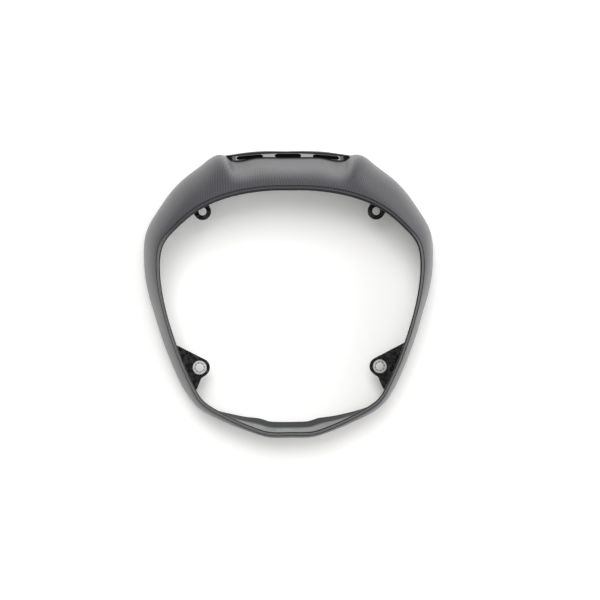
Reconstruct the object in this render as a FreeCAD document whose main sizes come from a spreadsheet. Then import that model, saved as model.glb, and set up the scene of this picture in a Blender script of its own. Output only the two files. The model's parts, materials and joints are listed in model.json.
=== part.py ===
import FreeCAD, Part
import math
import os
import Sketcher

# Headlight cover of a motorbike, lying on its back with the lamp opening facing up.
# X runs across the cover, Y from the chin to the brow, Z out of the lamp opening.

Vector = FreeCAD.Vector
doc = FreeCAD.newDocument("HeadlightCover")
sheet = doc.addObject("Spreadsheet::Sheet", "Sizes")

# Driving sizes in millimetres and degrees
sizes = [
    ("wall", 1.8, "thickness of the laminate"),
    ("front_height_brow", 60.0, "front edge above the table at the brow"),
    ("front_height_chin", 36.0, "front edge above the table at the chin"),
    ("groove_width", 1.3, "joggle groove beside the front lip"),
    ("groove_depth", 1.1, "joggle groove below the front edge"),
    ("lip_return", 3.6, "depth of the turned-in lip"),
    ("lip_bevel_share", 0.65, "share of the lip's width that its inner bevel takes"),
    ("lip_bevel_fall", 0.8, "fall of the bevel for each millimetre of its width"),
    ("lip_edge", 1.35, "thickness of the lip's back edge"),
    ("groove_floor", 0.9, "flat floor of the joggle groove"),
    ("groove_lean", 0.3, "slope across the groove's inner wall"),
    # Front edge, right half, from the brow to the chin
    ("brow_y", 92.3, "front edge at the middle of the brow"),
    ("brow_arc_x", 40.3, "half width of the brow's flat arch"),
    ("brow_arc_drop", 3.2, "fall of the arch at its end"),
    ("brow_end_x", 72.0, "where the brow bends down"),
    ("brow_end_drop", 14.2, "fall of the bend below the brow"),
    ("half_width", 108.9, "widest point of the front edge"),
    ("corner_high_inset", 9.6, "start of the upper corner, in from the widest point"),
    ("corner_high_drop", 36.8, "start of the upper corner, below the brow"),
    ("corner_mid_inset", 2.6, "middle of the upper corner, in from the widest point"),
    ("corner_mid_drop", 46.8, "middle of the upper corner, below the brow"),
    ("corner_low_drop", 60.3, "widest point, below the brow"),
    ("side_mid_inset", 4.9, "middle of the side, in from the widest point"),
    ("side_mid_drop", 101.3, "middle of the side, below the brow"),
    ("chin_depth", 111.7, "front edge at the middle of the chin"),
    ("side_low_inset", 16.4, "lower side, in from the widest point"),
    ("side_low_rise", 65.5, "lower side, above the chin"),
    ("heel_high_x", 80.5, "start of the lower corner"),
    ("heel_high_rise", 38.0, "start of the lower corner, above the chin"),
    ("heel_mid_x", 74.8, "middle of the lower corner"),
    ("heel_mid_rise", 28.8, "middle of the lower corner, above the chin"),
    ("heel_low_x", 62.0, "end of the lower corner"),
    ("heel_low_rise", 19.2, "end of the lower corner, above the chin"),
    ("chin_bend_x", 28.5, "bend of the chin"),
    ("chin_bend_rise", 3.3, "bend of the chin, above its middle"),
    ("chin_flat_x", 21.0, "half length of the chin's flat"),
    ("chin_flat_rise", 0.9, "end of the chin's flat, above its middle"),
    # Where each kind of section starts, as an angle round the lamp from the brow
    ("recess_angle", 24.3, "end of the scooped recess"),
    ("recess_wall_angle", 4.8, "run of the recess's side wall"),
    ("cheek_angle", 36.0, "shoulder's outer end"),
    ("corner_angle", 73.0, "widest point"),
    ("side_angle", 95.0, "middle of the side"),
    ("flank_angle", 131.0, "end of the side"),
    ("heel_angle", 146.0, "past the lower corner"),
    ("chin_angle", 14.4, "half angle of the chin"),
    # Vent strip at the back of the recess
    ("vent_foot", 2.0, "vent window above the rear rim, along the slope"),
    ("vent_height", 10.0, "height of the vent window, along the slope"),
    ("vent_half_width", 47.6, "half width of the window"),
    ("vent_gap", 0.45, "gap between window and insert"),
    ("vent_sink", 0.5, "insert below the shell's surface"),
    ("vent_plate", 0.8, "thickness of the insert's flange"),
    ("vent_flange", 2.6, "flange of the insert past the window"),
    ("slot_length", 22.5, "length of a vent slot"),
    ("slot_height", 6.4, "height of a vent slot, along the slope"),
    ("slot_shift", 0.6, "slots below the middle of the window, along the slope"),
    ("slot_floor", 0.6, "thin floor that closes a slot"),
    ("slot_pitch", 32.4, "from one slot's middle to the next"),
    # Upper tabs
    ("tab_x", 71.5, "tab hole from the middle"),
    ("tab_y", 72.8, "tab hole above the lamp's centre"),
    ("tab_height", 30.0, "underside of the tab above the table"),
    ("tab_thickness", 3.0, "thickness of the tab"),
    ("tab_radius", 7.0, "round end of the tab"),
    ("tab_spread", 1.8, "widening of the tab's root, on each side"),
    ("screw_radius", 3.3, "clearance hole for a 6 mm screw"),
    # Lower lugs and their eyelets
    ("lug_x", 74.7, "eyelet from the middle"),
    ("lug_drop", 55.7, "eyelet below the lamp's centre"),
    ("lug_height", 20.0, "underside of the lug above the table"),
    ("lug_thickness", 3.2, "thickness of the lug"),
    ("lug_nose", 7.5, "round end of the lug"),
    ("lug_offset", 1.0, "centre of the round end, in from the eyelet"),
    ("lug_high_angle", 27.3, "slope of the lug's upper edge"),
    ("lug_low_angle", 35.0, "slope of the lug's lower edge"),
    ("lug_low_run", 5.0, "straight part of the lower edge"),
    ("lug_foot", 14.5, "from the lower edge down to the lug's foot"),
    ("lug_foot_run", 7.2, "from the lower edge out to the lug's foot"),
    ("lug_foot_bow", 0.6, "hollow of the edge above the foot"),
    ("eyelet_barrel", 0.9, "wall of the eyelet's barrel"),
    ("eyelet_radius", 5.8, "flange of the eyelet"),
    ("eyelet_flange", 0.8, "thickness of the eyelet's flanges"),
    ("tooth_depth", 0.9, "notches in the eyelet's crimped edge"),
    ("tooth_width", 1.1, "width of a notch"),
    ("tooth_drop", 0.65, "how far a notch goes down the crimp"),
]
for row, (alias, value, note) in enumerate(sizes, start=1):
    sheet.set("A%d" % row, note)
    sheet.set("B%d" % row, str(value))
    sheet.setAlias("B%d" % row, alias)

# Kinds of section round the ring, sizes in millimetres.
# flare: rear rim outside the front edge. crest and drop: how the skin leaves the front edge.
# rise and lean: how it meets the rear rim. lip: width of groove and lip.
section_keys = ["flare", "crest", "drop", "rise", "lean", "lip"]
sections = {
    "recess": [32.8, 15.0, 1.2, 22.0, -15.0, 4.0],
    "brink": [33.9, 15.0, 1.2, 22.0, -15.0, 4.0],
    "shoulder": [34.8, 17.0, 1.5, 42.0, 3.0, 4.0],
    "cheek": [31.4, 15.0, 2.2, 38.0, 2.6, 4.0],
    "corner": [11.8, 5.5, 5.0, 26.0, 1.5, 3.2],
    "side": [8.6, 3.2, 6.0, 20.0, 0.8, 2.8],
    "flank": [7.0, 3.2, 6.0, 18.0, 0.8, 2.8],
    "heel": [1.7, 5.0, 5.0, 13.0, 4.5, 2.9],
    "bend": [-7.0, 4.5, 3.5, 9.0, 8.5, 3.0],
    "chin": [-6.4, 4.5, 3.5, 9.0, 8.5, 3.0],
}
for column, (kind, values) in enumerate(sections.items()):
    letter = "DEFGHIJKLM"[column]
    sheet.set("%s1" % letter, kind)
    for row, (key, value) in enumerate(zip(section_keys, values), start=2):
        sheet.set("%s%d" % (letter, row), str(value))
        sheet.setAlias("%s%d" % (letter, row), "%s_%s" % (kind, key))
doc.recompute()


def size(alias):
    return float(sheet.get(alias))


# Path of the front edge

def edge_points():
    brow = size("brow_y")
    chin = -size("chin_depth")
    wide = size("half_width")
    right = [
        (size("brow_arc_x"), brow - size("brow_arc_drop")),
        (size("brow_end_x"), brow - size("brow_end_drop")),
        (wide - size("corner_high_inset"), brow - size("corner_high_drop")),
        (wide - size("corner_mid_inset"), brow - size("corner_mid_drop")),
        (wide, brow - size("corner_low_drop")),
        (wide - size("side_mid_inset"), brow - size("side_mid_drop")),
        (wide - size("side_low_inset"), chin + size("side_low_rise")),
        (size("heel_high_x"), chin + size("heel_high_rise")),
        (size("heel_mid_x"), chin + size("heel_mid_rise")),
        (size("heel_low_x"), chin + size("heel_low_rise")),
        (size("chin_bend_x"), chin + size("chin_bend_rise")),
        (size("chin_flat_x"), chin + size("chin_flat_rise")),
    ]
    left = [(-x, y) for x, y in reversed(right)]
    return [Vector(x, y, 0) for x, y in [(0, brow)] + right + [(0, chin)] + left]


def closed_curve(points, knots):
    curve = Part.BSplineCurve()
    curve.interpolate(Points=points, PeriodicFlag=True, Parameters=knots)
    return curve


def chord_knots(points):
    knots = [0.0]
    for first, second in zip(points, points[1:] + points[:1]):
        knots.append(knots[-1] + (second - first).Length)
    return knots


corner_points = edge_points()
edge_path = closed_curve(corner_points, chord_knots(corner_points))
path_start = edge_path.FirstParameter
path_middle = chord_knots(corner_points)[len(corner_points) // 2]


def path_angle(parameter):
    point = edge_path.value(parameter)
    return math.degrees(math.atan2(point.x, point.y))


def path_frame(angle):
    # the front edge's point and outward direction at an angle of 0 to 180 from the brow
    low, high = path_start, path_middle
    for step in range(50):
        middle = (low + high) / 2
        if path_angle(middle) < angle:
            low = middle
        else:
            high = middle
    tangent = edge_path.tangent(low)[0]
    outward = Vector(-tangent.y, tangent.x, 0)
    point = edge_path.value(low)
    if outward.dot(point) < 0:
        outward = outward * -1
    if angle in (0, 180):
        outward = Vector(0, 1 if angle == 0 else -1, 0)
        point.x = 0
    return point, outward.normalize()


# Sections round the ring

def section_stops():
    # angle, kind of section there, and steps from the stop before
    recess_end = size("recess_angle")
    shoulder_start = recess_end + size("recess_wall_angle")
    return [
        (0, "recess", 0),
        (recess_end, "brink", 3),
        (shoulder_start, "shoulder", 4),
        (size("cheek_angle"), "cheek", 1),
        (size("corner_angle"), "corner", 5),
        (size("side_angle"), "side", 3),
        (size("flank_angle"), "flank", 4),
        (size("heel_angle"), "heel", 4),
        (180 - size("chin_angle"), "bend", 4),
        (180, "chin", 3),
    ]


def half_stations():
    # angle and section sizes of each station on the right half
    stops = section_stops()
    stations = [(0, dict(zip(section_keys, kind_sizes("recess"))))]
    for before, after in zip(stops, stops[1:]):
        first, second = kind_sizes(before[1]), kind_sizes(after[1])
        for step in range(1, after[2] + 1):
            share = step / after[2]
            angle = before[0] + (after[0] - before[0]) * share
            if after[1] in ("brink", "shoulder"):
                share = share * share * (3 - 2 * share)
            mixed = [a + (b - a) * share for a, b in zip(first, second)]
            stations.append((angle, dict(zip(section_keys, mixed))))
    return stations


def kind_sizes(kind):
    return [size("%s_%s" % (kind, key)) for key in section_keys]


def front_height(y):
    brow, chin = size("brow_y"), -size("chin_depth")
    share = (y - chin) / (brow - chin)
    return size("front_height_chin") + share * (size("front_height_brow") - size("front_height_chin"))


def skin_inside(outer, wall):
    # the inner skin's control points: each leg of the outer ones moved inward by the wall
    normals = []
    for first, second in zip(outer, outer[1:]):
        run, fall = second[0] - first[0], first[1] - second[1]
        length = math.hypot(run, fall)
        normals.append((-fall / length, -run / length))
    inner = []
    for point, before, after in zip(outer[1:-1], normals, normals[1:]):
        mitre = wall / (1 + before[0] * after[0] + before[1] * after[1])
        inner.append((point[0] + (before[0] + after[0]) * mitre,
                      point[1] + (before[1] + after[1]) * mitre))
    rim = (outer[-1][0] + wall / normals[-1][0], 0)
    under_groove = (-size("groove_width") / 2, outer[0][1] - size("groove_depth") - size("lip_edge"))
    return [under_groove] + inner + [rim]


def bezier(points, share):
    while len(points) > 1:
        points = [(first[0] + (second[0] - first[0]) * share, first[1] + (second[1] - first[1]) * share)
                  for first, second in zip(points, points[1:])]
    return points[0]


inner_strips = 6


def inner_skin(outer):
    # the inner skin as straight strips, from the lip down to the rear rim
    control = skin_inside(outer, size("wall"))
    return [bezier(control, step / inner_strips) for step in range(inner_strips + 1)]


def lip_points(lip, top):
    # from the inner skin round the turned-in lip to the groove's outer wall
    groove, depth = size("groove_width"), size("groove_depth")
    foot = top - size("lip_return")
    land = groove + size("groove_lean")
    bevel = size("lip_bevel_share") * (lip - land)
    return [
        (-lip + size("lip_edge"), foot), (-lip, foot),
        (-lip, top - size("lip_bevel_fall") * bevel), (-lip + bevel, top),
        (-land, top), (-groove, top - depth), (size("groove_floor") - groove, top - depth),
    ]


def section_strips(station, top):
    # one section as strips of (outward, height) points: the outer skin, then straight ones
    flare = station["flare"]
    outer = [(0, top), (station["crest"], top - station["drop"]),
             (flare + station["lean"], station["rise"]), (flare, 0)]
    inner = inner_skin(outer)
    outline = [outer[-1]] + inner[::-1] + lip_points(station["lip"], top) + [outer[0]]
    return {"outer": [outer], "inner": inner, "rest": list(zip(outline, outline[1:]))}


def ring_frames():
    frames = []
    for angle, station in half_stations():
        point, outward = path_frame(angle)
        frames.append((point, outward, station))
    for point, outward, station in reversed(frames[1:-1]):
        frames.append((Vector(-point.x, point.y, 0), Vector(-outward.x, outward.y, 0), station))
    return frames


frames = ring_frames()
ring_knots = chord_knots([point for point, outward, station in frames])


def ring_curve(offsets):
    # a closed curve through one (outward, height) point of every section
    points = []
    for (point, outward, station), (reach, height) in zip(frames, offsets):
        place = point + outward * reach
        points.append(Vector(place.x, place.y, height))
    return closed_curve(points, ring_knots)


def strip_face(curves):
    # a face with one control curve per degree across, closed round the ring
    poles = [curve.getPoles() for curve in curves]
    degree = len(curves) - 1
    first = curves[0]
    surface = Part.BSplineSurface()
    surface.buildFromPolesMultsKnots(
        poles, [degree + 1] * 2, first.getMultiplicities(), [0.0, 1.0], first.getKnots(),
        False, True, degree, 3)
    return surface.toShape()


def ring_solid(strips_round):
    # strips_round: for each station the same number of strips, each a list of points
    faces = []
    for strip_round in zip(*strips_round):
        faces.append(strip_face([ring_curve(list(row)) for row in zip(*strip_round)]))
    joined = Part.makeCompound(faces)
    joined.sewShape(0.001)
    solid = Part.makeSolid(joined.Shells[0])
    if solid.Volume < 0:
        solid.reverse()
    return solid


all_sections = [section_strips(station, front_height(point.y)) for point, outward, station in frames]

moulded = doc.addObject("Part::Feature", "MouldedRing")
moulded.Shape = ring_solid([section["outer"] + section["rest"] for section in all_sections])

# The cover's middle is the origin, so the lamp's centre is moved off it
extent = moulded.Shape.optimalBoundingBox(False, False)
lamp_row = len(sizes) + 1
sheet.set("A%d" % lamp_row, "lamp's centre from the middle of the cover")
sheet.set("B%d" % lamp_row, str(round(-(extent.YMin + extent.YMax) / 2, 3)))
sheet.setAlias("B%d" % lamp_row, "lamp_y")
doc.recompute()


# Everything outside the inner skin, which trims the bonded pieces to fit it.
# It reaches past the uncut roots of the tabs.

outside_reach = size("shoulder_flare") + 3 * size("tab_radius")


def outside_strips(section):
    inner = section["inner"]
    outline = [(outside_reach, 0)] + inner[::-1] + [(outside_reach, inner[0][1]), (outside_reach, 0)]
    return list(zip(outline, outline[1:]))


outside = doc.addObject("Part::Feature", "OutsideOfSkin")
outside.Shape = ring_solid([outside_strips(section) for section in all_sections])


# Small helpers for bodies and sketches

def body_plane(body, role):
    for feature in body.Origin.OriginFeatures:
        if feature.Role == role:
            return feature


def new_sketch(body, name, role):
    sketch = body.newObject("Sketcher::SketchObject", name)
    sketch.AttachmentSupport = (body_plane(body, role), [""])
    sketch.MapMode = "FlatFace"
    return sketch


def closed_outline(sketch, points):
    count = len(points)
    for index in range(count):
        sketch.addGeometry(Part.LineSegment(points[index], points[(index + 1) % count]), False)
    for index in range(count):
        sketch.addConstraint(Sketcher.Constraint("Coincident", index, 2, (index + 1) % count, 1))


def add_pad(body, sketch, name, length):
    pad = body.newObject("PartDesign::Pad", name)
    pad.Profile = sketch
    pad.setExpression("Length", length)
    return pad


def add_circle(sketch, radius, expression):
    index = sketch.addGeometry(Part.Circle(Vector(0, 0, 0), Vector(0, 0, 1), radius), False)
    sketch.addConstraint(Sketcher.Constraint("Coincident", index, 3, -1, 1))
    ring = sketch.addConstraint(Sketcher.Constraint("Radius", index, radius))
    sketch.setExpression("Constraints[%d]" % ring, expression)


def add_through_hole(body, name, radius, expression):
    sketch = new_sketch(body, name + "Circle", "XY_Plane")
    add_circle(sketch, radius, expression)
    hole = body.newObject("PartDesign::Pocket", name)
    hole.Profile = sketch
    hole.Type = "ThroughAll"
    hole.Midplane = True
    return hole


def place_body(body, x, y, z):
    body.setExpression("Placement.Base.x", x)
    body.setExpression("Placement.Base.y", y)
    body.setExpression("Placement.Base.z", z)


def trimmed(base, tool, name):
    cut = doc.addObject("Part::Cut", name)
    cut.Base = base
    cut.Tool = tool
    return cut


def over_origin(piece, label):
    # a finished piece, moved so that the cover's middle is the origin
    piece.Label = label
    piece.setExpression("Placement.Base.y", "Sizes.lamp_y")


# Upper tabs: a round ear on a straight root that runs out to the inner skin

def make_tab(side, label):
    hole = Vector(side * size("tab_x"), size("tab_y"), 0)
    angle = math.degrees(math.atan2(abs(hole.x), hole.y))
    edge, outward = path_frame(angle)
    out = Vector(side * outward.x, outward.y, 0)
    along = Vector(-out.y, out.x, 0)
    radius = size("tab_radius")
    edge_distance = (Vector(side * edge.x, edge.y, 0) - hole).Length
    reach = edge_distance + size("shoulder_flare") + radius
    spread = radius + size("tab_spread")
    body = doc.addObject("PartDesign::Body", "Tab" + label.title().replace("_", ""))
    outline = new_sketch(body, "TabOutline", "XY_Plane")
    ends = [along * radius, along * -radius]
    far = [along * spread + out * reach, along * -spread + out * reach]
    tip = Part.Arc(ends[0], out * -radius, ends[1])
    outline.addGeometry(tip, False)
    outline.addGeometry(Part.LineSegment(ends[1], far[1]), False)
    outline.addGeometry(Part.LineSegment(far[1], far[0]), False)
    outline.addGeometry(Part.LineSegment(far[0], ends[0]), False)
    round_end = outline.addConstraint(Sketcher.Constraint("Radius", 0, radius))
    outline.setExpression("Constraints[%d]" % round_end, "Sizes.tab_radius")
    add_pad(body, outline, "TabPlate", "Sizes.tab_thickness")
    add_through_hole(body, "TabHole", size("screw_radius"), "Sizes.screw_radius")
    place_body(body, "%d * Sizes.tab_x" % side, "Sizes.tab_y", "Sizes.tab_height")
    over_origin(trimmed(body, outside, "Trimmed" + body.Name), label)


for side, label in ((-1, "upper_tab_left"), (1, "upper_tab_right")):
    make_tab(side, label)


# Lower lugs: a nose round the eyelet and two edges that spread to a wide root

def lug_outline(side):
    nose = size("lug_nose")
    high = math.radians(size("lug_high_angle"))
    low = math.radians(size("lug_low_angle"))
    high_dir = Vector(math.cos(high), math.sin(high), 0)
    low_dir = Vector(math.cos(low), -math.sin(low), 0)
    high_start = Vector(-math.sin(high), math.cos(high), 0) * nose
    low_start = Vector(-math.sin(low), -math.cos(low), 0) * nose
    reach = size("half_width") - size("lug_x") + size("side_flare")
    high_end = high_start + high_dir * reach
    low_end = low_start + low_dir * size("lug_low_run")
    foot = low_end + Vector(size("lug_foot_run"), -size("lug_foot"), 0)
    foot_bend = (low_end + foot) / 2 - Vector(size("lug_foot_bow"), 0, 0)
    corner = Vector(reach, foot.y, 0)
    tip = Vector(-nose, 0, 0)

    def turned(point):
        return Vector(side * (point.x - size("lug_offset")), point.y, 0)

    return [turned(p) for p in (high_start, tip, low_start, low_end, foot_bend, foot, corner, high_end)]


def make_lug(side, label):
    high_start, tip, low_start, low_end, foot_bend, foot, corner, high_end = lug_outline(side)
    body = doc.addObject("PartDesign::Body", "Lug" + label.title().replace("_", ""))
    outline = new_sketch(body, "LugOutline", "XY_Plane")
    outline.addGeometry(Part.Arc(high_start, tip, low_start), False)
    outline.addGeometry(Part.LineSegment(low_start, low_end), False)
    outline.addGeometry(Part.Arc(low_end, foot_bend, foot), False)
    outline.addGeometry(Part.LineSegment(foot, corner), False)
    outline.addGeometry(Part.LineSegment(corner, high_end), False)
    outline.addGeometry(Part.LineSegment(high_end, high_start), False)
    nose = outline.addConstraint(Sketcher.Constraint("Radius", 0, size("lug_nose")))
    outline.setExpression("Constraints[%d]" % nose, "Sizes.lug_nose")
    add_pad(body, outline, "LugPlate", "Sizes.lug_thickness")
    barrel = size("screw_radius") + size("eyelet_barrel")
    add_through_hole(body, "LugHole", barrel, "Sizes.screw_radius + Sizes.eyelet_barrel")
    place_body(body, "%d * Sizes.lug_x" % side, "-Sizes.lug_drop", "Sizes.lug_height")
    over_origin(trimmed(body, outside, "Trimmed" + body.Name), label)


for side, label in ((-1, "lower_lug_left"), (1, "lower_lug_right")):
    make_lug(side, label)


# Eyelets: a barrel through the lug, a flange on each face and a toothed crimp

tooth_count = 8


def make_eyelet(side, label):
    bore = size("screw_radius")
    barrel = bore + size("eyelet_barrel")
    wide = size("eyelet_radius")
    flange = size("eyelet_flange")
    lug = size("lug_thickness")
    body = doc.addObject("PartDesign::Body", "Eyelet" + label.title().replace("_", ""))
    profile = new_sketch(body, "EyeletProfile", "XZ_Plane")
    closed_outline(profile, [
        Vector(bore, -flange, 0), Vector(wide, -flange, 0), Vector(wide, 0, 0),
        Vector(barrel, 0, 0), Vector(barrel, lug, 0), Vector(wide, lug, 0),
        Vector(wide - 0.5 * flange, lug + flange, 0), Vector(bore, lug + flange, 0),
    ])
    turned = body.newObject("PartDesign::Revolution", "EyeletTurned")
    turned.Profile = profile
    turned.ReferenceAxis = (profile, ["V_Axis"])
    turned.Angle = 360
    doc.recompute()
    notch = new_sketch(body, "CrimpNotch", "XY_Plane")
    notch.AttachmentOffset = FreeCAD.Placement(
        Vector(0, 0, lug + flange), FreeCAD.Rotation())
    half = size("tooth_width") / 2
    depth = size("tooth_depth")
    closed_outline(notch, [
        Vector(bore - depth, -half, 0), Vector(bore + depth, -half, 0),
        Vector(bore + depth, half, 0), Vector(bore - depth, half, 0),
    ])
    cut = body.newObject("PartDesign::Pocket", "CrimpCut")
    cut.Profile = notch
    cut.setExpression("Length", "Sizes.tooth_drop")
    doc.recompute()
    pattern = body.newObject("PartDesign::PolarPattern", "CrimpTeeth")
    pattern.Originals = [cut]
    pattern.Axis = (notch, ["N_Axis"])
    pattern.Angle = 360
    pattern.Occurrences = tooth_count
    body.Tip = pattern
    place_body(body, "%d * Sizes.lug_x" % side, "Sizes.lamp_y - Sizes.lug_drop", "Sizes.lug_height")
    body.Label = label


for side, label in ((-1, "eyelet_left"), (1, "eyelet_right")):
    make_eyelet(side, label)


# Vent window and insert, turned about the centre of the brow's arch

def rim_point(index):
    point, outward, station = frames[index]
    return point + outward * station["flare"]


recess_steps = section_stops()[1][2]
rim_middle, rim_end = rim_point(0), rim_point(recess_steps)
arch_fall = rim_middle.y - rim_end.y
arch_radius = (rim_end.x ** 2 + arch_fall ** 2) / (2 * arch_fall)
arch_centre = rim_middle.y - arch_radius
slope_up = Vector(size("recess_lean"), size("recess_rise"), 0).normalize()
slope_out = Vector(slope_up.y, -slope_up.x, 0)


def strip_profile(low, high, inside, outside_face):
    # a rectangle on the recess's rear slope, in the plane of the arch's radius and height
    foot = Vector(arch_radius, 0, 0)
    return [
        foot + slope_up * low + slope_out * inside,
        foot + slope_up * low + slope_out * outside_face,
        foot + slope_up * high + slope_out * outside_face,
        foot + slope_up * high + slope_out * inside,
    ]


def arch_body(name, profiles, half_angle):
    # turns rectangles about the arch's centre, half_angle to each side of the middle
    body = doc.addObject("PartDesign::Body", name)
    for index, (points, spread) in enumerate(zip(profiles, half_angle)):
        sketch = new_sketch(body, "Profile%d" % index, "XZ_Plane")
        closed_outline(sketch, points)
        turned = body.newObject("PartDesign::Revolution", "Turned%d" % index)
        turned.Profile = sketch
        turned.ReferenceAxis = (sketch, ["V_Axis"])
        turned.Midplane = True
        turned.Angle = 2 * spread
        doc.recompute()
    body.Placement = FreeCAD.Placement(
        Vector(0, arch_centre, 0), FreeCAD.Rotation(Vector(0, 0, 1), 90))
    return body


foot = size("vent_foot")
head = foot + size("vent_height")
gap = size("vent_gap")
spread = math.degrees(math.asin(size("vent_half_width") / arch_radius))
gap_angle = math.degrees(gap / arch_radius)
flange_angle = math.degrees(size("vent_flange") / arch_radius)

past_wall = 4 * size("wall")
window = arch_body("VentWindow", [strip_profile(foot, head, -past_wall, past_wall)], [spread])
over_origin(trimmed(moulded, window, "ShellWithWindow"), "shell")

plate_face = -size("vent_sink")
plate_back = -size("wall") - size("vent_plate")
over_table = plate_back * slope_out.y / -slope_up.y + gap
plug = arch_body(
    "InsertPlug",
    [strip_profile(max(foot + gap, over_table), head - gap, plate_back, plate_face)],
    [spread - gap_angle])
flange = arch_body(
    "InsertFlange",
    [strip_profile(over_table, head + size("vent_flange"), plate_back, plate_face)],
    [spread + flange_angle])
insert_blank = doc.addObject("Part::Fuse", "InsertBlank")
insert_blank.Base = trimmed(flange, outside, "FlangeTrimmed")
insert_blank.Tool = plug


# Three slots in the insert, square to its slope and closed by a thin floor

slot_count = 3


def make_slot(index):
    turn = math.degrees(size("slot_pitch") / arch_radius) * (index - (slot_count - 1) / 2)
    length, height = size("slot_length"), size("slot_height")
    floor = plate_back + size("slot_floor")
    centre = slope_up * (foot + size("vent_height") / 2 - size("slot_shift")) + slope_out * floor
    body = doc.addObject("PartDesign::Body", "Slot%d" % index)
    sketch = new_sketch(body, "SlotOutline", "XY_Plane")
    half, radius = length / 2 - height / 2, height / 2
    sketch.addGeometry(Part.LineSegment(Vector(-half, radius, 0), Vector(half, radius, 0)), False)
    sketch.addGeometry(Part.Arc(
        Vector(half, radius, 0), Vector(half + radius, 0, 0), Vector(half, -radius, 0)), False)
    sketch.addGeometry(Part.LineSegment(Vector(half, -radius, 0), Vector(-half, -radius, 0)), False)
    sketch.addGeometry(Part.Arc(
        Vector(-half, -radius, 0), Vector(-half - radius, 0, 0), Vector(-half, radius, 0)), False)
    pad = body.newObject("PartDesign::Pad", "SlotDepth")
    pad.Profile = sketch
    pad.Length = past_wall
    pad.Reversed = True
    tilt = math.degrees(math.atan2(slope_up.y, slope_up.x))
    local = FreeCAD.Placement(
        Vector(0, arch_radius + centre.x, centre.y), FreeCAD.Rotation(Vector(1, 0, 0), tilt))
    around = FreeCAD.Placement(Vector(0, arch_centre, 0), FreeCAD.Rotation(Vector(0, 0, 1), -turn))
    body.Placement = around.multiply(local)
    return body


insert = insert_blank
for index in range(slot_count):
    insert = trimmed(insert, make_slot(index), "InsertSlotted%d" % index)
over_origin(insert, "vent_insert")

# Check and write the pieces

pieces = [
    "shell", "vent_insert", "upper_tab_left", "upper_tab_right",
    "lower_lug_left", "lower_lug_right", "eyelet_left", "eyelet_right",
]
doc.recompute()
for thing in doc.Objects:
    if "Invalid" in thing.State or "Error" in thing.State:
        raise RuntimeError("%s failed" % thing.Label)
os.makedirs("parts", exist_ok=True)
for name in pieces:
    shape = doc.getObjectsByLabel(name)[0].Shape
    if shape.isNull() or not shape.isValid():
        raise RuntimeError("%s has no sound shape" % name)
    print(name, len(shape.Solids), "solid", round(shape.Volume), "mm3")
    shape.exportStep("parts/%s.step" % name)
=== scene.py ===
import bpy
import json
import math
from mathutils import Matrix, Vector


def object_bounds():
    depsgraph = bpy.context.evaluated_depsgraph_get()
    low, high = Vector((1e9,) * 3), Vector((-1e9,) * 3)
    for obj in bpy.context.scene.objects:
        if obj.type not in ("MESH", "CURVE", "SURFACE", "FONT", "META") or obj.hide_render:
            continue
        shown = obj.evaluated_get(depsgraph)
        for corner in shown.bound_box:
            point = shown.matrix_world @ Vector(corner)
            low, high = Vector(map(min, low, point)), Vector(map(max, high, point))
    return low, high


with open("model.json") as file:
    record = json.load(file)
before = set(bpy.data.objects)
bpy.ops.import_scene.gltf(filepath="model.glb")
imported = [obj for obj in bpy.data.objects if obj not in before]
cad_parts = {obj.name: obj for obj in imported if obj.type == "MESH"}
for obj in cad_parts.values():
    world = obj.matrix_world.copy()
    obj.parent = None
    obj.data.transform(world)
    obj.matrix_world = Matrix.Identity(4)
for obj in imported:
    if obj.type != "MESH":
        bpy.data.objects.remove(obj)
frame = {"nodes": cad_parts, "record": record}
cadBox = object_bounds()
nodes = frame["nodes"]
mounts = {mount["name"]: Vector(mount["pos_m"]) for mount in frame["record"]["mounts"]}
print("frame loaded:", ", ".join(sorted(nodes)))


# Shader helpers: a Wire is a node's output, and maths on wires adds Math nodes

class Wire:
    def __init__(self, graph, socket):
        self.graph, self.socket = graph, socket

    def compute(self, operation, *values):
        return self.graph.node("ShaderNodeMath", {"operation": operation}, list(values))

    def __add__(self, other):
        return self.compute("ADD", self, other)

    def __radd__(self, other):
        return self.compute("ADD", other, self)

    def __sub__(self, other):
        return self.compute("SUBTRACT", self, other)

    def __rsub__(self, other):
        return self.compute("SUBTRACT", other, self)

    def __mul__(self, other):
        return self.compute("MULTIPLY", self, other)

    def __rmul__(self, other):
        return self.compute("MULTIPLY", other, self)

    def __truediv__(self, other):
        return self.compute("DIVIDE", self, other)

    def __mod__(self, other):
        return self.compute("FLOORED_MODULO", self, other)

    def __pow__(self, other):
        return self.compute("POWER", self, other)

    def __lt__(self, other):
        return self.compute("LESS_THAN", self, other)

    def __gt__(self, other):
        return self.compute("GREATER_THAN", self, other)

    def __abs__(self):
        return self.compute("ABSOLUTE", self)

    def floor(self):
        return self.compute("FLOOR", self)

    def fraction(self):
        return self.compute("FRACT", self)

    def squareRoot(self):
        return self.compute("SQRT", self)

    def sine(self):
        return self.compute("SINE", self)

    def angle(self, across):
        # round from the across axis, in radians
        return self.compute("ARCTAN2", self, across)


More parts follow.
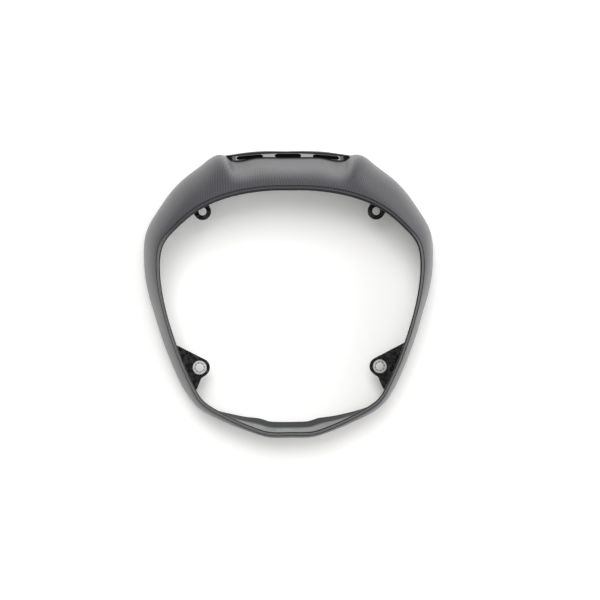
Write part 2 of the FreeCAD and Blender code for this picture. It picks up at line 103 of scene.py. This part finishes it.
class Graph:
    def __init__(self, owner):
        # the owner is a new material or a new world
        owner.use_nodes = True
        self.owner = owner
        self.tree = owner.node_tree
        self.tree.nodes.clear()

    def node(self, kind, settings=None, inputs=None, output=0):
        made = self.tree.nodes.new(kind)
        for key, value in (settings or {}).items():
            setattr(made, key, value)
        pairs = inputs.items() if isinstance(inputs, dict) else enumerate(inputs or [])
        for key, value in pairs:
            if isinstance(value, Wire):
                self.tree.links.new(value.socket, made.inputs[key])
            else:
                made.inputs[key].default_value = value
        return Wire(self, made.outputs[output]) if made.outputs else None

    def place(self):
        return self.node("ShaderNodeTexCoord", output="Object")

    def normal(self):
        return self.node("ShaderNodeNewGeometry", output="Normal")

    def xyz(self, vector):
        split = self.node("ShaderNodeSeparateXYZ", None, [vector])
        return [Wire(self, socket) for socket in split.socket.node.outputs]

    def noise(self, vector, scale, detail=2.0):
        inputs = {"Vector": vector, "Scale": scale, "Detail": detail}
        return self.node("ShaderNodeTexNoise", None, inputs)

    def between(self, value, start, full):
        # 0 up to the start, smoothly rising to 1 where it is full
        return self.node("ShaderNodeMapRange", {"interpolation_type": "SMOOTHSTEP"},
                         [value, start, full])

    def mix(self, factor, first, second):
        sockets = {0: factor, 6: first, 7: second}      # the colour sockets of a Mix node
        return self.node("ShaderNodeMix", {"data_type": "RGBA"}, sockets, 2)

    def bump(self, height, distance, strength):
        inputs = {"Height": height, "Distance": distance, "Strength": strength}
        return self.node("ShaderNodeBump", None, inputs)

    def rays(self, *kinds):
        # 1 for the kinds of ray named, else 0
        outputs = self.node("ShaderNodeLightPath").socket.node.outputs
        wires = [Wire(self, outputs["Is " + kind + " Ray"]) for kind in kinds]
        return sum(wires[1:], wires[0])

    def surface(self, **sockets):
        inputs = {key.replace("_", " "): value for key, value in sockets.items()}
        return self.node("ShaderNodeBsdfPrincipled", None, inputs)

    def dull(self, colour):
        # no gloss at all
        return self.surface(Base_Color=colour, Roughness=1.0, Specular_IOR_Level=0.0)

    def blend(self, factor, first, second):
        return self.node("ShaderNodeMixShader", None, {0: factor, 1: first, 2: second})

    def finish(self, shader):
        self.node("ShaderNodeOutputMaterial", None, {"Surface": shader})


def grey(level, tint=(1.0, 1.0, 1.0)):
    return (level * tint[0], level * tint[1], level * tint[2], 1.0)


def bow(thread):
    # rise of a thread across its width, 0 at the sides and 1 in the middle
    return 1 - (2 * thread.fraction() - 1) ** 2


def dress(names, material):
    for name in names:
        slots = nodes[name].data.materials
        slots.clear()
        slots.append(material)


# The brow's rear slope, turned about the centre of its arch

brow = {
    "archRadius": 0.4026,
    "slopeIn": -0.5633,         # direction up the slope
    "slopeRise": 0.8262,
}


def archPlace(x, y, z):
    # how far a place is off the slope, and how far up it from the rear rim
    fromCentre = y + (brow["archRadius"] - cadBox[1][1])
    outward = (x * x + fromCentre * fromCentre).squareRoot() - brow["archRadius"]
    offSlope = outward * brow["slopeRise"] - z * brow["slopeIn"]
    upSlope = outward * brow["slopeIn"] + z * brow["slopeRise"]
    return offSlope, upSlope


# Carbon shell: twill cloth under a satin clear coat, plainer laminate on the inside.
# Here and below, a pair of numbers says where a mask starts and where it is full.

shell = {
    "frontHeight": 0.060,               # height at which the cloth lies flat
    "chinHeight": 0.036,                # height of the front edge at the chin
    "browY": 0.0867,                    # front edge at the middle of the brow
    "spread": 7.0,                      # how fast the cloth opens out below it, per metre
    "lean": 0.14,                       # turn of the cloth to the right
    "tow": 0.0008,                      # width of one tow
    "twill": 4,                         # tows in a repeat, half of them over the others
    "weaveDepth": 0.00012,
    "weaveStrength": 0.35,
    "warpColour": grey(0.070, (1.0, 0.97, 1.10)),
    "weftColour": grey(0.041, (1.0, 0.97, 1.10)),
    "cloudScale": 45.0,                 # patches where the cloth looks more even
    "cloudStrength": 0.35,
    "beadHighlightColour": grey(0.180),          # painted highlight on the lip's level top, below the brow
    "beadHighlightLevel": (0.90, 0.97),          # upward part of its normal
    "beadHighlightBelow": (0.055, 0.035),
    "insideColour": grey(0.310, (0.98, 1.0, 1.01)),
    "insideFacing": (-0.12, -0.35),     # -1 is straight back at the middle
    "stainColour": grey(0.250, (0.98, 1.0, 1.01)),      # resin-starved patches
    "stainScale": 110.0,
    "stainRange": (0.35, 0.70),
    "rimShadeColour": grey(0.045, (0.97, 1.0, 1.03)),
    "rimShadeHeight": (0.0095, 0.0050),      # painted shade, starting and full at these heights above the table that the rim lies on
    "bevelShadeColour": grey(0.012),         # painted shade on the lip's inner edge
    "bevelShadeDepth": (0.00360, 0.00288),   # below the front edge
    "rebateShadeColour": grey(0.010),        # painted shade along the cut edge round the vent window
    "rebateShadeLow": (0.0013, 0.0015),      # up the slope, from the rear rim
    "rebateShadeHigh": (0.0193, 0.0133),
    "rebateShadeSide": (0.0520, 0.05095),
    "grainScale": 900.0,
    "grainRoughness": 0.06,
    "roughness": 0.42,
    "insideRoughness": 0.14,            # added on the inside
    "specular": 0.40,
    "coat": 0.36,
    "coatLost": 0.8,                    # share of the coat that the inside lacks
    "coatRoughness": 0.28,
}


def twill(x, y, z):
    # laid at 45 degrees: where the warp is on top, and the height of the cloth
    openOut = 1 + shell["spread"] * (shell["frontHeight"] - z)
    down = y * openOut
    side = x * openOut + shell["lean"] * down
    step = shell["tow"] * math.sqrt(2)
    first = (side + down) / step
    second = (side - down) / step
    lastOver = shell["twill"] / 2 - 0.5
    warpUp = (first.floor() + second.floor()) % shell["twill"] < lastOver
    return warpUp, warpUp * bow(first) + (1 - warpUp) * bow(second)


def belowFront(y, z):
    # depth below the front edge, which climbs evenly from the chin to the brow
    chinY = cadBox[0][1]
    climb = (shell["frontHeight"] - shell["chinHeight"]) / (shell["browY"] - chinY)
    return shell["chinHeight"] + (y - chinY) * climb - z


def laminateColour(graph, place, y, z):
    patches = graph.noise(place, shell["stainScale"], detail=4.0)
    stain = graph.between(patches, *shell["stainRange"])
    colour = graph.mix(stain, shell["insideColour"], shell["stainColour"])
    # painted shade: the inside darker towards the rear rim, where it lies on the table
    rimShade = graph.between(z, *shell["rimShadeHeight"])
    colour = graph.mix(rimShade, colour, shell["rimShadeColour"])
    # painted shade on the lip's inner edge, a little below the front edge
    bevelShade = graph.between(belowFront(y, z), *shell["bevelShadeDepth"])
    return graph.mix(bevelShade, colour, shell["bevelShadeColour"])


def windowShade(graph, x, y, z):
    # painted shade along the cut edge round the vent insert
    upSlope = archPlace(x, y, z)[1]
    edge = graph.between(upSlope, *shell["rebateShadeLow"])
    edge = edge * graph.between(upSlope, *shell["rebateShadeHigh"])
    return edge * graph.between(abs(x), *shell["rebateShadeSide"]) * (y > 0)


def carbonMaterial():
    graph = Graph(bpy.data.materials.new("carbonTwill"))
    place = graph.place()
    x, y, z = graph.xyz(place)
    warpUp, height = twill(x, y, z)
    cloth = graph.mix(warpUp, shell["weftColour"], shell["warpColour"])
    cloud = graph.noise(place, shell["cloudScale"], detail=3.0)
    cloth = graph.mix(cloud * shell["cloudStrength"], cloth, shell["warpColour"])

    nx, ny, nz = graph.xyz(graph.normal())
    # painted highlight: upward-facing surfaces below the brow, such as the lip's level top, made
    # lighter
    beadHighlight = graph.between(nz, *shell["beadHighlightLevel"]) * graph.between(y, *shell["beadHighlightBelow"])
    cloth = graph.mix(beadHighlight, cloth, shell["beadHighlightColour"])
    facing = (nx * x + ny * y) / (x * x + y * y).squareRoot()
    inside = graph.between(facing, *shell["insideFacing"])
    colour = graph.mix(inside, cloth, laminateColour(graph, place, y, z))

    grain = graph.noise(place, shell["grainScale"])
    roughness = (shell["roughness"] + shell["grainRoughness"] * grain
                 + shell["insideRoughness"] * inside)
    satin = graph.surface(
        Base_Color=colour, Roughness=roughness,
        Normal=graph.bump(height, shell["weaveDepth"], shell["weaveStrength"]),
        Coat_Weight=shell["coat"] * (1 - shell["coatLost"] * inside),
        Coat_Roughness=shell["coatRoughness"], Specular_IOR_Level=shell["specular"])
    # painted shade round the vent window, on the outside only
    edge = windowShade(graph, x, y, z) * (1 - inside)
    graph.finish(graph.blend(edge, satin, graph.dull(shell["rebateShadeColour"])))
    return graph.owner


dress(["shell"], carbonMaterial())
print("shell dressed")


# Vent insert: a satin grey face, dull and dark behind it and in its slots

insert = {
    "faceColour": grey(0.29, (0.99, 0.97, 1.03)),
    "edgeColour": grey(0.11, (0.99, 0.99, 1.02)),
    "backColour": grey(0.045),
    "slotColour": grey(0.004),
    "slotOff": (-0.0008, -0.0014),      # off the slope, between the face and the slots' floor
    "faceLow": (0.0029, 0.0035),        # up the slope, from the rear rim
    "faceHigh": (0.0099, 0.0093),
    "faceSide": (0.0441, 0.0433),
    "faceBack": 0.92,                   # which way the face looks, past the brow and up
    "faceUp": 0.39,
    "faceFacing": (0.80, 0.94),
    "roughness": 0.38,
    "cloudScale": 120.0,
    "cloudRoughness": 0.1,
    "grainScale": 1400.0,
    "grainDepth": 0.00002,
    "grainStrength": 0.5,
}


def insertMaterial():
    graph = Graph(bpy.data.materials.new("satinInsert"))
    place = graph.place()
    x, y, z = graph.xyz(place)
    offSlope, upSlope = archPlace(x, y, z)
    inSlot = graph.between(offSlope, *insert["slotOff"])
    band = graph.between(upSlope, *insert["faceLow"]) * graph.between(upSlope, *insert["faceHigh"])
    band = band * graph.between(abs(x), *insert["faceSide"])
    ny, nz = graph.xyz(graph.normal())[1:]
    facing = ny * insert["faceBack"] + nz * insert["faceUp"]
    front = graph.between(facing, *insert["faceFacing"])
    edge = graph.mix(front, insert["backColour"], insert["edgeColour"])
    dark = graph.dull(graph.mix(inSlot, edge, insert["slotColour"]))
    cloud = graph.noise(place, insert["cloudScale"])
    grain = graph.noise(place, insert["grainScale"])
    satin = graph.surface(
        Base_Color=insert["faceColour"],
        Roughness=insert["roughness"] + insert["cloudRoughness"] * cloud,
        Normal=graph.bump(grain, insert["grainDepth"], insert["grainStrength"]))
    graph.finish(graph.blend(band * front * (1 - inSlot), dark, satin))
    return graph.owner


dress(["vent_insert"], insertMaterial())
print("vent insert dressed")


# Tabs and lugs: black laminate with pooled resin, so its gloss is blotchy

composite = {
    "resinColour": grey(0.006),
    "dryColour": grey(0.040, (0.98, 1.0, 1.0)),
    "blotchScale": 260.0,
    "blotchRange": (0.44, 0.62),
    "dryRoughness": 0.55,
    "resinRoughness": 0.18,
    "thread": 0.0009,           # width of one thread of the plain weave
    "fineScale": 1500.0,
    "weaveDepth": 0.00010,
    "weaveStrength": 0.5,
}


def compositeMaterial():
    graph = Graph(bpy.data.materials.new("blackLaminate"))
    place = graph.place()
    x, y = graph.xyz(place)[:2]
    blotches = graph.noise(place, composite["blotchScale"], detail=4.0)
    dry = graph.between(blotches, *composite["blotchRange"])
    across, along = x / composite["thread"], y / composite["thread"]
    over = (across.floor() + along.floor()) % 2
    weave = over * bow(across) + (1 - over) * bow(along)
    fine = graph.noise(place, composite["fineScale"], detail=3.0)
    resin = composite["resinRoughness"]
    graph.finish(graph.surface(
        Base_Color=graph.mix(dry * fine, composite["resinColour"], composite["dryColour"]),
        Roughness=resin + (composite["dryRoughness"] - resin) * dry,
        Normal=graph.bump(weave * dry + fine, composite["weaveDepth"],
                          composite["weaveStrength"])))
    return graph.owner


laminated = ["upper_tab_left", "upper_tab_right", "lower_lug_left", "lower_lug_right"]
dress(laminated, compositeMaterial())
print("tabs and lugs dressed")


# Eyelets: dull plated metal, with turned marks round the hole, and the crimp darker towards the
# hole, unevenly from tooth to tooth

eyelet = {
    "colour": grey(0.75, (1.0, 1.0, 0.99)),
    "worn": grey(0.52, (1.0, 1.0, 0.99)),
    "wornRange": (0.45, 0.70),
    "crimp": grey(0.16),
    "crimpRadius": (0.0045, 0.0039),
    "holeDarkening": 0.60,
    "teeth": 8,
    "toothDarkening": 0.35,         # how much the darkening rises and falls from tooth to tooth
    "metallic": 0.45,
    "roughness": 0.30,
    "smudgeScale": 500.0,
    "smudgeRoughness": 0.2,
    "markPitch": 0.00025,
    "markDepth": 0.00002,
    "markStrength": 0.4,
}


def eyeletMaterial(side):
    graph = Graph(bpy.data.materials.new("pressedMetal_" + side))
    centre = mounts["lower_eyelet_" + side]
    place = graph.place()
    x, y = graph.xyz(place)[:2]
    fromX, fromY = x - centre.x, y - centre.y
    radius = (fromX * fromX + fromY * fromY).squareRoot()
    marks = (radius * (2 * math.pi / eyelet["markPitch"])).sine()
    smudge = graph.noise(place, eyelet["smudgeScale"], detail=3.0)
    worn = graph.between(smudge, *eyelet["wornRange"])
    colour = graph.mix(worn, eyelet["colour"], eyelet["worn"])
    # the crimp darker towards the hole, rising and falling from tooth to tooth
    inCrimp = graph.between(radius, *eyelet["crimpRadius"])
    teeth = (eyelet["teeth"] * fromY.angle(fromX)).sine()
    holeDarkening = inCrimp * (eyelet["holeDarkening"] + eyelet["toothDarkening"] * teeth)
    graph.finish(graph.surface(
        Base_Color=graph.mix(holeDarkening, colour, eyelet["crimp"]), Metallic=eyelet["metallic"],
        Roughness=eyelet["roughness"] + eyelet["smudgeRoughness"] * smudge,
        Normal=graph.bump(marks + smudge, eyelet["markDepth"], eyelet["markStrength"])))
    return graph.owner


for side in ("left", "right"):
    dress(["eyelet_" + side], eyeletMaterial(side))
print("eyelets dressed")


# Studio: white table, one soft lamp past the brow and one overhead, and a room whose
# horizon is brighter on the right

studio = {
    "tableSize": 40.0,
    "tableColour": grey(0.90, (1.0, 0.995, 0.975)),
    "tableSeen": grey(1.10, (1.0, 0.995, 0.980)),       # for the camera and for reflections
    "lamps": [      # place, size, power
        [(-0.22, 0.72, 1.45), (0.8, 1.0), 13.0],
        [(-0.16, 0.08, 1.60), (1.4, 1.4), 8.5],
    ],
    "overhead": 0.18,
    "horizon": 0.48,
    "horizonUp": (0.95, 0.35),          # upward part of the view at which it starts
    "horizonPastBrow": 0.10,            # how much brighter it is on that side
    "horizonRight": 1.50,
    "rightSide": (0.00, 0.62),
}


def addTable():
    half = studio["tableSize"] / 2
    corners = [(-half, -half, 0), (half, -half, 0), (half, half, 0), (-half, half, 0)]
    mesh = bpy.data.meshes.new("table")
    mesh.from_pydata(corners, [], [(0, 1, 2, 3)])
    table = bpy.data.objects.new("table", mesh)
    bpy.context.scene.collection.objects.link(table)
    graph = Graph(bpy.data.materials.new("whiteTable"))
    seen = graph.rays("Camera", "Glossy", "Transmission")
    colour = graph.mix(seen, studio["tableColour"], studio["tableSeen"])
    graph.finish(graph.node("ShaderNodeBsdfDiffuse", None, {"Color": colour}))
    mesh.materials.append(graph.owner)


def addLamp(place, size, power):
    lamp = bpy.data.lights.new("softbox", "AREA")
    lamp.shape = "RECTANGLE"
    lamp.size, lamp.size_y = size
    lamp.energy = power
    light = bpy.data.objects.new("softbox", lamp)
    light.location = place
    light.rotation_euler = Vector(place).to_track_quat("Z", "Y").to_euler()
    light.visible_glossy = False
    bpy.context.scene.collection.objects.link(light)


def lightWorld():
    world = bpy.data.worlds.new("studioWorld")
    bpy.context.scene.world = world
    graph = Graph(world)
    right, pastBrow, up = graph.xyz(graph.node("ShaderNodeTexCoord", output="Generated"))
    horizon = (studio["horizon"] + studio["horizonPastBrow"] * pastBrow
               + studio["horizonRight"] * graph.between(right, *studio["rightSide"]))
    low = graph.between(up, *studio["horizonUp"])
    level = studio["overhead"] + low * (horizon - studio["overhead"])
    background = graph.node("ShaderNodeBackground", None, {"Color": grey(1.0), "Strength": level})
    graph.node("ShaderNodeOutputWorld", None, {"Surface": background})


addTable()
for lamp in studio["lamps"]:
    addLamp(*lamp)
lightWorld()
print("studio lit")


# Camera: high above the table, a little to the left

view = {
    "distance": 1.40,
    "aim": (0.0097, -0.0059, 0.0),
    "leftTilt": math.radians(2.6),
    "roll": math.radians(-0.3),
    "width": 0.5055,            # what the picture takes in at the table
}


def addCamera():
    data = bpy.data.cameras.new("camera")
    data.lens = data.sensor_width * view["distance"] / view["width"]
    camera = bpy.data.objects.new("camera", data)
    tilt = view["leftTilt"]
    back = Vector((-math.sin(tilt), 0, math.cos(tilt)))
    turn = Matrix.Rotation(-tilt, 4, "Y") @ Matrix.Rotation(view["roll"], 4, "Z")
    camera.matrix_world = Matrix.Translation(Vector(view["aim"]) + back * view["distance"]) @ turn
    bpy.context.scene.collection.objects.link(camera)
    bpy.context.scene.camera = camera


addCamera()
bpy.context.scene.view_settings.view_transform = "Standard"
print("camera set")
